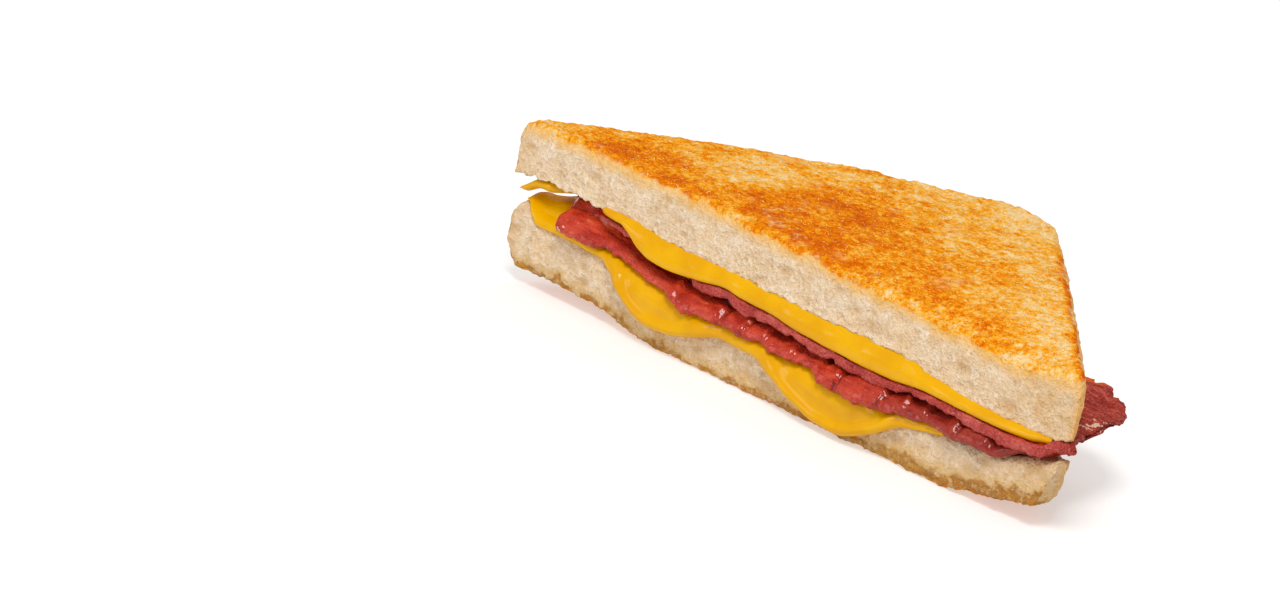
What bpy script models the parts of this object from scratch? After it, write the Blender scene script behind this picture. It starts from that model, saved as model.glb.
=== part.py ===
"""Half of a toasted sandwich, cut from corner to corner: two slices of white toast, two slices of
melted cheese and two rashers of cured meat between them.

The half lies flat on its lower slice. The cut runs along X, and depth is measured from the cut face
back towards the square corner. The origin is on the underside, below the middle of the triangle.
Lengths are in millimetres, and MM turns them into metres when a mesh is made.
"""

import math

import bmesh
import bpy

MM = 0.001

# The toast
TOAST_SIDE = 113.0
HALF_CUT = TOAST_SIDE / math.sqrt(2)
CUT_Y = -HALF_CUT / 3
SQUARE_CORNER_RADIUS = 18.0
SHARP_CORNER_RADIUS = 4.0
DOMED_LEG_BULGE = 4.5
UPPER_TOAST_SHIFT = -0.7
LOWER_TOAST_SHIFT = -0.3
LOWER_TOAST_INSET = 0.8
STACK_HEIGHT = 34.8
CRUST_RADIUS = 3.6
CUT_EDGE_RADIUS = 2.2
CUT_FOOT_RADIUS = 1.2
TIP_TOP_RADIUS = 3.4
TIP_FOOT_RADIUS = 1.0
RISE_LENGTH = 3.0
CUT_DROP_LENGTH = 7.0
TOP_FALL = 0.8
TOP_FALL_FROM = 40.0
TOP_FALL_LENGTH = 36.0
LOWER_TOAST_COLOUR = (0.83, 0.60, 0.36)
UPPER_TOAST_COLOUR = (0.85, 0.52, 0.18)

# The filling
GAP = 0.3
CHEESE_INSET = 3.2
MEAT_INSET = 2.2
MEAT_THICKNESS = 1.75
CHEESE_PROUD = 1.6
MEAT_PROUD = 2.7
CHEESE_SAG_LENGTH = 4.0
LEAST_SAG = 0.9
CHEESE_COLOUR = (0.90, 0.47, 0.02)
MEAT_COLOUR = (0.45, 0.06, 0.04)

# Where each layer of the filling starts and ends along the cut
LOWER_CHEESE_ENDS = (-75.0, 55.5)
UPPER_CHEESE_ENDS = (-76.5, 73.0)
LOWER_MEAT_ENDS = (-66.5, 67.0)
UPPER_MEAT_ENDS = (-48.5, 78.5)

# How far back each layer goes at least, near its pointed ends
LOWER_CHEESE_LEAST = 3.2
UPPER_CHEESE_LEAST = 2.2
LOWER_MEAT_LEAST = 1.2
UPPER_MEAT_LEAST = 0.3

# The lower rasher's back edge is wavy, and it comes down to the toast past the cheese's end
MEAT_WAVE = 1.2
MEAT_WAVE_LENGTH = 7.0
CHEESE_PASSED = 55.0
CHEESE_PASSED_LENGTH = 6.0

# The upper cheese droops at its left-hand corner. Its front edge starts behind the cut there, comes
# forward, and goes back again towards the right-hand end.
LEFT_DROOP = 2.9
LEFT_DROOP_FROM = -63.0
LEFT_DROOP_LENGTH = 14.0
CHEESE_TUCK = 0.5
CHEESE_FORWARD_FROM = -49.0
CHEESE_FORWARD_LENGTH = 9.0
CHEESE_BACK_SHARE = 0.7
CHEESE_BACK_FROM = 60.0
CHEESE_BACK_LENGTH = 12.0

# The upper rasher's front edge is scalloped, and tucked in at both ends. It rises past the end of
# the cheese, and its right-hand end sticks out.
SCALLOP = 0.4
SCALLOP_LENGTH = 2.1
RASHER_LEFT_TUCK = 2.6
RASHER_LEFT_FROM = -44.0
RASHER_LEFT_LENGTH = 7.0
RASHER_RIGHT_TUCK = 1.4
RASHER_RIGHT_FROM = 68.0
RASHER_RIGHT_LENGTH = 9.0
RASHER_END_RISE = 1.3
RASHER_END_FROM = 75.0
RASHER_END_LENGTH = 2.5
FLAP_FROM = 30.0
FLAP_LENGTH = 8.0

# Levels along the cut face, as (place along the cut, level) pairs. The lower slice is flat on the
# table in the middle, and its corners curl up.
FLAT_FROM = -32.0
FLAT_TO = 44.0
LEFT_CURL = 3.2
LEFT_CURL_LENGTH = 22.0
RIGHT_CURL = 4.4
RIGHT_CURL_LENGTH = 30.0
RIGHT_END_SLANT = 5.0
RIGHT_SLANT_FROM = 70.0
RIGHT_SLANT_LENGTH = 8.0
SQUARE_CORNER_CURL = 1.2
SQUARE_CURL_FROM = 62.0
SQUARE_CURL_LENGTH = 15.0
LOWER_EDGE = [(-78, 15.8), (-70, 14.9), (-60, 14.0), (-48, 13.0), (-30, 10.9), (0, 9.7), (20, 9.0),
              (45, 10.3), (57, 11.0), (66, 12.4), (73, 14.2), (78, 16.2)]
LOWER_RISE = [(-78, 1.3), (-60, 1.8), (-48, 1.5), (-30, 1.1), (0, 1.6), (20, 1.9), (45, 0.4), (76, 0.1)]
UPPER_EDGE = [(-80, 23.4), (-70, 24.0), (-42, 23.4), (-33, 22.6), (-15, 22.3), (0, 21.7), (33, 21.5),
              (41, 20.1), (50, 19.0), (62, 18.5), (71, 18.6), (79, 19.6)]
UPPER_DROP = [(-79, 0.7), (-40, 0.9), (0, 2.0), (30, 3.2), (60, 4.6), (78, 2.4)]
CHEESE_LOW = [(-77, 20.4), (-66, 22.2), (-46, 22.2), (-41, 21.0), (-35, 18.7), (-28, 18.4), (-16, 19.3),
              (-10, 18.7), (-1, 18.5), (5, 17.6), (21, 16.7), (31, 16.7), (41, 17.5), (50, 17.2),
              (62, 16.9), (73, 17.1)]

# How far each draped layer reaches round the upper edge of the cut, measured over the toast
CHEESE_REACH = [(-76, -0.6), (-63, 1.3), (-50, 1.8), (-46, 2.8), (36, 2.8), (47, 1.7), (56, 0.6)]
CHEESE_DRIPS = [
    {"at": -33.0, "length": 5.0, "left": 14.5, "right": 21.0},
    {"at": 19.5, "length": 6.2, "left": 25.0, "right": 20.0},
]
MEAT_REACH = [(-68, -7.0), (-61, 2.0), (-54, 1.9), (-48, 1.1), (-33, 1.5), (-28, 2.1), (10, 1.7),
              (25, 2.4), (45, 1.8), (61, 2.5), (68, 0.4)]

# Thickness of the cheese along the cut
LOWER_CHEESE = [(-76, 1.7), (-66, 2.2), (25, 2.2), (45, 1.3), (57, 0.9)]
UPPER_CHEESE = [(-77, 1.1), (-60, 1.5), (-45, 1.3), (-33, 2.2), (35, 2.2), (48, 1.5), (73, 1.1)]

# The rasher's end that sticks out of the right-hand side, as (place along the cut, depth) pairs
MEAT_FLAP = [(34, 43.5), (42, 42.0), (50, 43.0), (58, 39.8), (63, 34.0), (67, 24.0), (70, 13.5),
             (74, 7.5), (79, 1.5)]

# Where the sections are, along the cut, and the points of a section: depths at which a level layer
# has points, and the like for a draped one, measured over the toast from the start of its edge
STATION_STEP = 5.0
LEVEL_PLACES = [0.5, 2.2, 3.6, 5.0, 10.0, 40.0]
DRAPED_PLACES = [-37.8, -7.8, -2.8, -1.4, 0.0] + [CUT_EDGE_RADIUS * math.radians(a) for a in (30, 60, 90)]
PLACE_STEP = 0.3
FRONT_STEPS = 3
BACK_STEPS = 2
END_PLACES = [0.06, 0.4, 1.1, 2.4]
TIP_STEPS = 4
LEG_STEPS = 24
SQUARE_CORNER_STEPS = 8

# The most of a band's length and thickness that one rounded corner takes
MOST_ACROSS = 0.45
MOST_UP = 0.48
SHARP_FROM = math.radians(40)


def clamp(value, low=0.0, high=1.0):
    return max(low, min(high, value))


def smooth(value):
    """An ease from 0 to 1 as value goes from 0 to 1."""
    t = clamp(value)
    return t * t * (3 - 2 * t)


def along(points, x):
    """The height at x of a smooth line through the points, level beyond its ends."""
    if x <= points[0][0]:
        return points[0][1]
    if x >= points[-1][0]:
        return points[-1][1]
    i = next(k for k in range(len(points) - 1) if points[k + 1][0] >= x)
    (x0, y0), (x1, y1) = points[i], points[i + 1]
    span = x1 - x0

    def slope(k):
        """The line's slope at point k, level where it turns, so that it doesn't overshoot."""
        if k in (0, len(points) - 1):
            return 0.0
        before = (points[k][1] - points[k - 1][1]) / (points[k][0] - points[k - 1][0])
        after = (points[k + 1][1] - points[k][1]) / (points[k + 1][0] - points[k][0])
        if before * after <= 0:
            return 0.0
        return 2 * before * after / (before + after)

    t = (x - x0) / span
    ease_in, ease_out = t * (1 - t) ** 2, t * t * (t - 1)
    return y0 + (y1 - y0) * smooth(t) + span * (slope(i) * ease_in + slope(i + 1) * ease_out)


def toast_outline(side, shift):
    """Points of the crust in plan, from the left-hand end of the cut round to the right-hand end.
    They are worked out on the square slice, as distances from its square corner along the two
    sides, and then turned by 45 degrees."""
    corner, tip = SQUARE_CORNER_RADIUS, SHARP_CORNER_RADIUS
    straight = side - tip - corner
    on_square = []
    for k in range(TIP_STEPS + 1):
        a = math.radians(45 + 45 * k / TIP_STEPS)
        on_square.append((side - tip + tip * math.cos(a), tip - tip * math.sin(a)))
    for k in range(1, LEG_STEPS):
        t = k / LEG_STEPS
        on_square.append((side - tip - straight * t, -DOMED_LEG_BULGE * 4 * t * (1 - t)))
    for k in range(SQUARE_CORNER_STEPS + 1):
        a = math.radians(90 * k / SQUARE_CORNER_STEPS)
        on_square.append((corner * (1 - math.sin(a)), corner * (1 - math.cos(a))))
    for k in range(1, LEG_STEPS):
        on_square.append((0.0, corner + straight * k / LEG_STEPS))
    for k in range(TIP_STEPS + 1):
        a = math.radians(45 * k / TIP_STEPS)
        on_square.append((tip - tip * math.cos(a), side - tip + tip * math.sin(a)))
    reach = side / math.sqrt(2)
    return [(shift + (v - u) / math.sqrt(2), reach - (u + v) / math.sqrt(2)) for u, v in on_square]


UPPER_OUTLINE = toast_outline(TOAST_SIDE, UPPER_TOAST_SHIFT)
LOWER_OUTLINE = toast_outline(TOAST_SIDE - LOWER_TOAST_INSET, LOWER_TOAST_SHIFT)


def depth_of(outline, x):
    """How far back from the cut the crust is at x."""
    for (x0, y0), (x1, y1) in zip(outline, outline[1:]):
        if x0 <= x <= x1 and x1 > x0:
            return y0 + (y1 - y0) * (x - x0) / (x1 - x0)
    return 0.0


def underside(x, depth):
    """The lower slice's underside, with its slanting right-hand end."""
    right = max(x - FLAT_TO, 0.0) / RIGHT_CURL_LENGTH
    return (LEFT_CURL * smooth((FLAT_FROM - x) / LEFT_CURL_LENGTH) + RIGHT_CURL * right * right
            + RIGHT_END_SLANT * smooth((x - RIGHT_SLANT_FROM) / RIGHT_SLANT_LENGTH)
            + SQUARE_CORNER_CURL * smooth((depth - SQUARE_CURL_FROM) / SQUARE_CURL_LENGTH))


def lower_top(x, depth):
    """The lower slice's upper side, pressed down along the cut."""
    inside = 1 - math.exp(-max(depth - CUT_EDGE_RADIUS, 0.0) / RISE_LENGTH)
    return along(LOWER_EDGE, x) + along(LOWER_RISE, x) * inside


def upper_underside(x, depth):
    return along(UPPER_EDGE, x)


def upper_top(x, depth):
    """The toasted top, which the knife has pressed down along the cut."""
    pressed = along(UPPER_DROP, x) * math.exp(-max(depth, 0.0) / CUT_DROP_LENGTH)
    return STACK_HEIGHT - pressed - TOP_FALL * smooth((depth - TOP_FALL_FROM) / TOP_FALL_LENGTH)


def spread(start, end, places):
    """The places, moved only as far as they must be to lie in turn between start and end."""
    step = min(PLACE_STEP, (end - start) / (len(places) + 1))
    return [clamp(place, start + step * (k + 1), end - step * (len(places) - k))
            for k, place in enumerate(places)]


def band(front, back, low, high, radii, steps, places):
    """A closed ring with rounded corners, from front to back between two lines.
    radii are those of the lower front, the upper front and both back corners, and steps are those
    of the front and of the back corners. A radius is made smaller where the band is too short or
    too thin for it. Points run back along the lower line and forward along the upper one."""
    length = back - front

    def corner(p, radius, upper, at_back):
        """Points of one corner, from the line to the band's end at p."""
        across = min(radius, MOST_ACROSS * length)
        inner = p - across if at_back else p + across
        line = high if upper else low
        up = min(radius, MOST_UP * (high(inner) - low(inner)))
        count = steps[1] if at_back else steps[0]
        points = []
        for k in range(count + 1):
            a = math.radians(90 * k / count)
            out = across * math.sin(a)
            rise = up * (1 - math.cos(a))
            points.append((inner + out if at_back else inner - out,
                           line(inner) - rise if upper else line(inner) + rise))
        return points

    foot = corner(front, radii[0], False, False)
    brow = corner(front, radii[1], True, False)
    heel = corner(back, radii[2], False, True)
    shoulder = corner(back, radii[2], True, True)
    lower = [(p, low(p)) for p in spread(foot[0][0], heel[0][0], places)]
    upper = [(p, high(p)) for p in spread(brow[0][0], shoulder[0][0], places)]
    return foot[::-1] + lower + heel + shoulder[::-1] + upper[::-1] + brow


def stations(start, end):
    """Places along the cut, close together near both ends, where the outline turns. The others are
    the same for every layer."""
    first, last = start + END_PLACES[-1], end - END_PLACES[-1]
    shared = range(math.ceil((first + 1) / STATION_STEP), math.floor((last - 1) / STATION_STEP) + 1)
    return ([start + n for n in END_PLACES] + [k * STATION_STEP for k in shared]
            + [end - n for n in END_PLACES[::-1]])


def end_inset(x, start, end, radius):
    """How much a section at x is cut down, so that the ends of the solid are round."""
    inside = min(min(x - start, end - x) / radius, 1.0)
    return radius * (1 - math.sqrt(1 - (1 - inside) ** 2))


def material(name, colour, roughness):
    made = bpy.data.materials.new(name)
    made.use_nodes = True
    shader = made.node_tree.nodes["Principled BSDF"]
    shader.inputs["Base Color"].default_value = (*colour, 1.0)
    shader.inputs["Roughness"].default_value = roughness
    shader.inputs["Metallic"].default_value = 0.0
    return made


def loft(name, sections, finish, collection):
    """A solid skin over rings of equal length. Each section is (x, [(depth, level), ...])."""
    shape = bmesh.new()
    rings = [[shape.verts.new((x * MM, (CUT_Y + d) * MM, z * MM)) for d, z in ring]
             for x, ring in sections]
    count = len(rings[0])
    for ring, following in zip(rings, rings[1:]):
        for k in range(count):
            shape.faces.new((ring[k], ring[(k + 1) % count],
                             following[(k + 1) % count], following[k]))
    shape.faces.new(rings[0])
    shape.faces.new(rings[-1][::-1])
    bmesh.ops.triangulate(shape, faces=[f for f in shape.faces if len(f.verts) > 4])
    bmesh.ops.recalc_face_normals(shape, faces=shape.faces)
    mesh = bpy.data.meshes.new(name)
    shape.to_mesh(mesh)
    shape.free()
    mesh.materials.append(finish)
    mesh.shade_smooth()
    mesh.set_sharp_from_angle(angle=SHARP_FROM)
    made = bpy.data.objects.new(name, mesh)
    collection.objects.link(made)
    return made


def slab(start, end, front, back, low, high, radii, end_radii):
    """Sections of a layer that lies level: low and high are functions of (x, depth). end_radii are
    those of its ends' lower and upper edges."""
    made = []
    for x in stations(start, end):
        foot_inset = end_inset(x, start, end, end_radii[0])
        top_inset = end_inset(x, start, end, end_radii[1])

        def lower(d, x=x, inset=foot_inset):
            return low(x, d) + inset

        def upper(d, x=x, inset=top_inset):
            return high(x, d) - inset

        ring = band(front(x), back(x), lower, upper, radii, (FRONT_STEPS, BACK_STEPS), LEVEL_PLACES)
        made.append((x, ring))
    return made


def over_edge(x, place, height):
    """A point of a layer draped over the lower slice's cut edge, as (depth, level).
    place runs over the toast's surface: negative behind the edge's curve, then round the curve and
    down the cut. height is measured out from the toast's surface."""
    edge, radius = along(LOWER_EDGE, x), CUT_EDGE_RADIUS
    if place <= 0:
        depth = radius - place
        return depth, lower_top(x, depth) + height
    turn = place / radius
    if turn < math.pi / 2:
        return (radius - (radius + height) * math.sin(turn),
                edge - radius + (radius + height) * math.cos(turn))
    return -height, edge - radius - (place - radius * math.pi / 2)


def draped(start, end, reach, back, low, high, radii, end_radius):
    """Sections of a layer that lies on the lower slice and hangs over its cut edge.
    low and high are its heights above the toast at x."""
    made = []
    for x in stations(start, end):
        inset = end_inset(x, start, end, end_radius)
        bottom, top = low(x) + inset, high(x) - inset
        ring = band(CUT_EDGE_RADIUS - back(x), reach(x), lambda p, b=bottom: b,
                    lambda p, t=top: t, radii, (BACK_STEPS, FRONT_STEPS), DRAPED_PLACES)
        made.append((x, [over_edge(x, p, h) for p, h in ring]))
    return made


def make_lower_toast(collection):
    start, end = LOWER_OUTLINE[0][0], LOWER_OUTLINE[-1][0]
    sections = slab(start, end, lambda x: 0.0, lambda x: depth_of(LOWER_OUTLINE, x),
                    underside, lower_top, (CUT_FOOT_RADIUS, CUT_EDGE_RADIUS, CRUST_RADIUS),
                    (TIP_FOOT_RADIUS, TIP_TOP_RADIUS))
    return loft("toast_lower", sections, material("lower_toast", LOWER_TOAST_COLOUR, 0.85),
                collection)


def make_upper_toast(collection):
    start, end = UPPER_OUTLINE[0][0], UPPER_OUTLINE[-1][0]
    sections = slab(start, end, lambda x: 0.0, lambda x: depth_of(UPPER_OUTLINE, x),
                    upper_underside, upper_top, (CUT_FOOT_RADIUS, CUT_EDGE_RADIUS, CRUST_RADIUS),
                    (TIP_FOOT_RADIUS, TIP_TOP_RADIUS))
    return loft("toast_upper", sections, material("upper_toast", UPPER_TOAST_COLOUR, 0.8),
                collection)


def cheese_reach(x):
    """How far over the edge the lower cheese hangs, with its two long drips."""
    reach = along(CHEESE_REACH, x)
    for drip in CHEESE_DRIPS:
        away = (x - drip["at"]) / (drip["left"] if x < drip["at"] else drip["right"])
        reach += drip["length"] * max(1 - away * away, 0.0) ** 2
    return reach


def cheese_back(x):
    """The back edge of the cheese, inside the crust."""
    return max(depth_of(LOWER_OUTLINE, x) - CHEESE_INSET * math.sqrt(2), LOWER_CHEESE_LEAST)


def make_lower_cheese(collection):
    sections = draped(*LOWER_CHEESE_ENDS, cheese_reach, cheese_back, lambda x: GAP,
                      lambda x: GAP + along(LOWER_CHEESE, x), (0.8, 0.8, 1.1), 0.5)
    return loft("cheese_lower", sections, material("cheese", CHEESE_COLOUR, 0.3), collection)


def meat_floor(x):
    """The lower rasher's height above the toast: on the cheese, and on the toast past its end."""
    under = along(LOWER_CHEESE, x) + GAP
    return GAP + under * (1 - smooth((x - CHEESE_PASSED) / CHEESE_PASSED_LENGTH))


def meat_back(x):
    wave = MEAT_WAVE * math.sin(x / MEAT_WAVE_LENGTH) ** 2
    return max(depth_of(LOWER_OUTLINE, x) - MEAT_INSET * math.sqrt(2) - wave,
               CUT_EDGE_RADIUS - along(MEAT_REACH, x) + LOWER_MEAT_LEAST)


def make_lower_meat(collection):
    sections = draped(*LOWER_MEAT_ENDS, lambda x: along(MEAT_REACH, x), meat_back, meat_floor,
                      lambda x: meat_floor(x) + MEAT_THICKNESS, (0.8, 0.8, 0.85), 0.4)
    return loft("meat_lower", sections, material("meat", MEAT_COLOUR, 0.35), collection)


def cheese_ceiling(x, depth):
    """The upper cheese's upper side: against the toast, and drooping at its left-hand corner."""
    droop = LEFT_DROOP * smooth((LEFT_DROOP_FROM - x) / LEFT_DROOP_LENGTH)
    return upper_underside(x, depth) - GAP - droop


def cheese_sag(x, depth):
    """The upper cheese's underside, which sags in front of the cut."""
    inside = cheese_ceiling(x, depth) - along(UPPER_CHEESE, x)
    sagging = min(along(CHEESE_LOW, x), cheese_ceiling(x, 0.0) - LEAST_SAG)
    return inside + (sagging - inside) * smooth(1 - depth / CHEESE_SAG_LENGTH)


def cheese_front(x):
    """The upper cheese's front edge: behind the cut at the left, proud of it further on."""
    forward = smooth((x - CHEESE_FORWARD_FROM) / CHEESE_FORWARD_LENGTH)
    back = CHEESE_BACK_SHARE * smooth((x - CHEESE_BACK_FROM) / CHEESE_BACK_LENGTH)
    proud = CHEESE_PROUD * forward * (1 - back)
    return CHEESE_TUCK * (1 - forward) - proud


def upper_cheese_back(x):
    return max(depth_of(UPPER_OUTLINE, x) - CHEESE_INSET * math.sqrt(2), UPPER_CHEESE_LEAST)


def make_upper_cheese(collection):
    sections = slab(*UPPER_CHEESE_ENDS, cheese_front, upper_cheese_back,
                    cheese_sag, cheese_ceiling, (1.3, 1.0, 1.0), (0.35, 0.35))
    return loft("cheese_upper", sections, bpy.data.materials["cheese"], collection)


def rasher_top(x, depth):
    """The upper rasher's upper side, under the cheese and, past its end, under the toast."""
    rise = RASHER_END_RISE * smooth((x - RASHER_END_FROM) / RASHER_END_LENGTH)
    return cheese_sag(x, depth) - GAP + rise


def rasher_back(x):
    """The upper rasher's back edge, with the end that sticks out at the right."""
    inside = depth_of(UPPER_OUTLINE, x) - MEAT_INSET * math.sqrt(2)
    share = smooth((x - FLAP_FROM) / FLAP_LENGTH)
    return max(inside * (1 - share) + along(MEAT_FLAP, x) * share, UPPER_MEAT_LEAST)


def rasher_front(x):
    """The upper rasher's front edge, scalloped."""
    return (-MEAT_PROUD + SCALLOP * math.sin(x / SCALLOP_LENGTH)
            + RASHER_LEFT_TUCK * smooth((RASHER_LEFT_FROM - x) / RASHER_LEFT_LENGTH)
            + RASHER_RIGHT_TUCK * smooth((x - RASHER_RIGHT_FROM) / RASHER_RIGHT_LENGTH))


def make_upper_meat(collection):
    sections = slab(*UPPER_MEAT_ENDS, rasher_front, rasher_back,
                    lambda x, d: rasher_top(x, d) - MEAT_THICKNESS, rasher_top,
                    (0.85, 0.85, 0.85), (0.4, 0.4))
    return loft("meat_upper", sections, bpy.data.materials["meat"], collection)


def main():
    for old in list(bpy.data.objects):
        bpy.data.objects.remove(old)
    collection = bpy.data.collections.new("sandwich_half")
    bpy.context.scene.collection.children.link(collection)
    make_lower_toast(collection)
    make_lower_cheese(collection)
    make_lower_meat(collection)
    make_upper_meat(collection)
    make_upper_cheese(collection)
    make_upper_toast(collection)


main()
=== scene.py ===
"""Looks of half a toasted sandwich: two slices of toast, two of melted cheese and two rashers of
cured meat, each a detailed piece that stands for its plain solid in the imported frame.

Shapes are worked out in millimetres, with depth measured from the cut face back towards the square
corner, and become metres when a mesh is made. Shader lengths are in millimetres too.
"""

import math

import bpy
import numpy as np
from mathutils import Matrix, Vector, noise


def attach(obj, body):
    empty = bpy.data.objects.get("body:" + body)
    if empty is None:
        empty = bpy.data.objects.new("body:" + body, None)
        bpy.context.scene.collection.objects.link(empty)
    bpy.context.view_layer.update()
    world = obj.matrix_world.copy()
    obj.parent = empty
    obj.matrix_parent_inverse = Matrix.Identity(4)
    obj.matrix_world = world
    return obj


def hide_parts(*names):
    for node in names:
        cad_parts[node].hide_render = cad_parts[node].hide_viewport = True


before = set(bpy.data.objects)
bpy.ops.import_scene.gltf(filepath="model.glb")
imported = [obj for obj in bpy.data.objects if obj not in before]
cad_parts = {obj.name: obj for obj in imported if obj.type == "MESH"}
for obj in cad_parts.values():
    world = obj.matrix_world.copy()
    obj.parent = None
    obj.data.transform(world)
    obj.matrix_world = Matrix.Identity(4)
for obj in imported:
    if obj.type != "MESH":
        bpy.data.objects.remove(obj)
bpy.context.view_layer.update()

MM = 0.001

# ---------------------------------------------------------------- sizes shared by the layers

TOAST_SIDE = 113.0
CUT_Y = -TOAST_SIDE / math.sqrt(2) / 3
SQUARE_CORNER_RADIUS = 18.0
SHARP_CORNER_RADIUS = 4.0
DOMED_LEG_BULGE = 4.5
UPPER_TOAST_SHIFT = -0.7
LOWER_TOAST_SHIFT = -0.3
LOWER_TOAST_INSET = 0.8
STACK_HEIGHT = 34.8
CRUST_RADIUS = 3.4
CUT_EDGE_RADIUS = 2.2
LOWER_FOOT_RADIUS = 0.8
UPPER_FOOT_RADIUS = 0.3
FRINGE_DROP = 0.25
TIP_TOP_RADIUS = 3.4
TIP_FOOT_RADIUS = 1.0
RISE_LENGTH = 3.0
CUT_DROP_LENGTH = 7.0
TOP_FALL = 0.8
TOP_FALL_FROM = 40.0
TOP_FALL_LENGTH = 36.0

GAP = 0.15
CHEESE_INSET = 3.2
MEAT_INSET = 2.2
MEAT_THICKNESS = 1.8

FLAT_FROM = -32.0
FLAT_TO = 44.0
LEFT_CURL = 3.2
LEFT_CURL_LENGTH = 22.0
RIGHT_CURL = 4.4
RIGHT_CURL_LENGTH = 30.0
RIGHT_END_LIFT = 1.0
RIGHT_LIFT_AFTER = 2.0
RIGHT_LIFT_LENGTH = 10.0
RIGHT_END_SLANT = 12.0
RIGHT_SLANT_FROM = 71.2
RIGHT_SLANT_LENGTH = 6.8
LEFT_END_SLANT = 5.0
LEFT_SLANT_FROM = -74.6
LEFT_SLANT_LENGTH = 4.4
LEAST_TOAST = 0.9
SQUARE_CORNER_CURL = 1.2
SQUARE_CURL_FROM = 62.0
SQUARE_CURL_LENGTH = 15.0

# Each of the next lists holds (place along the cut, value) pairs.
# Levels of the toast's edges along the cut, and how far they rise or drop just there
LOWER_EDGE = [(-79, 16.2), (-77.2, 16.7), (-75.4, 17.6), (-74, 17.3), (-72, 15.9), (-69.5, 14.6),
              (-60, 14.0), (-48, 13.0), (-30, 10.9), (0, 9.7), (20, 9.0), (45, 10.3), (57, 11.2),
              (66, 12.9), (73, 14.8), (78, 16.8)]
LOWER_RISE = [(-78, 0.9), (-66, 2.3), (-56, 1.8), (-48, 1.5), (-30, 1.1), (0, 1.6), (20, 1.9),
              (45, 0.4), (76, 0.1)]
UPPER_EDGE = [(-80, 22.3), (-72, 23.3), (-62, 23.4), (-42, 23.4), (-33, 22.6), (-15, 22.3),
              (0, 21.7), (33, 21.5), (41, 20.1), (50, 19.0), (62, 18.5), (71, 18.6), (79, 19.6)]
UPPER_DROP = [(-79, 0.7), (-40, 0.9), (0, 2.0), (30, 3.2), (60, 4.6), (78, 2.4)]
# The level that the upper cheese sags to, and how far the lower cheese and rasher hang over the cut
CHEESE_LOW = [(-77, 19.8), (-72, 21.3), (-66, 22.6), (-47, 22.6), (-43, 21.2), (-39.5, 19.0),
              (-36, 17.9), (-30.5, 17.5), (-25.5, 17.8), (-20, 18.3), (-14, 19.0), (-10, 18.4),
              (-1, 18.2), (5, 17.4), (21, 16.4), (31, 16.3), (41, 17.1), (50, 16.9), (62, 16.7),
              (68, 16.9), (73, 17.7)]
CHEESE_REACH = [(-74.8, 0.6), (-72.4, 1.9), (-70, 2.3), (-66, 2.3), (-60, 1.7), (-50, 1.9),
                (-46, 2.8), (36, 2.8), (47, 1.7), (56, 0.6)]
MEAT_REACH = [(-67, -4.5), (-62, 2.0), (-54, 1.9), (-48, 1.1), (-33, 1.5), (-28, 2.1), (10, 1.7),
              (25, 2.4), (45, 1.8), (61, 2.5), (68, 0.4)]
# How thick the two cheeses and the upper rasher are
LOWER_CHEESE = [(-75, 0.9), (-71, 1.6), (-66, 2.2), (25, 2.2), (45, 1.3), (57, 0.9)]
UPPER_CHEESE = [(-77, 1.0), (-74.5, 2.0), (-70, 2.1), (-64, 1.3), (-60, 1.2), (-45, 1.3),
                (-33, 2.2), (35, 2.2), (48, 1.5), (73, 1.1)]
RASHER_THICKNESS = [(-52, 0.7), (-44, 1.1), (-34, 1.5), (-22, 1.6), (-14, 2.0), (-8, 2.2),
                    (0, 1.8), (6, 1.3), (12, 1.7), (28, 1.8), (36, 1.2), (41, 1.0), (48, 1.5),
                    (55, 2.1), (66, 1.9), (78, 2.2)]
# How far back the upper rasher's flap reaches
MEAT_FLAP = [(34, 39.0), (42, 40.5), (46, 41.0), (52, 41.0), (57, 38.6), (61, 36.4), (64, 33.5),
             (67, 28.5), (69, 21.0), (70.2, 14.0), (73, 8.0), (76, 3.5), (79, 1.0)]
# Where the lower cheese drips over the cut, and how far each drip spreads to its left and right
CHEESE_DRIPS = [
    {"at": -33.0, "length": 5.0, "left": 14.5, "right": 21.0},
    {"at": 19.5, "length": 6.2, "left": 25.0, "right": 20.0},
]


def clamp(value, low=0.0, high=1.0):
    return max(low, min(high, value))


def smooth(value):
    """An ease from 0 to 1 as value goes from 0 to 1."""
    t = clamp(value)
    return t * t * (3 - 2 * t)


def along(points, x):
    """The height at x of a smooth line through the points, level beyond its ends."""
    if x <= points[0][0]:
        return points[0][1]
    if x >= points[-1][0]:
        return points[-1][1]
    i = next(k for k in range(len(points) - 1) if points[k + 1][0] >= x)
    (x0, y0), (x1, y1) = points[i], points[i + 1]
    span = x1 - x0

    def slope(k):
        """The line's slope at point k, level where it turns, so that it doesn't overshoot."""
        if k in (0, len(points) - 1):
            return 0.0
        before = (points[k][1] - points[k - 1][1]) / (points[k][0] - points[k - 1][0])
        after = (points[k + 1][1] - points[k][1]) / (points[k + 1][0] - points[k][0])
        if before * after <= 0:
            return 0.0
        return 2 * before * after / (before + after)

    t = (x - x0) / span
    ease_in, ease_out = t * (1 - t) ** 2, t * t * (t - 1)
    return y0 + (y1 - y0) * smooth(t) + span * (slope(i) * ease_in + slope(i + 1) * ease_out)


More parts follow.
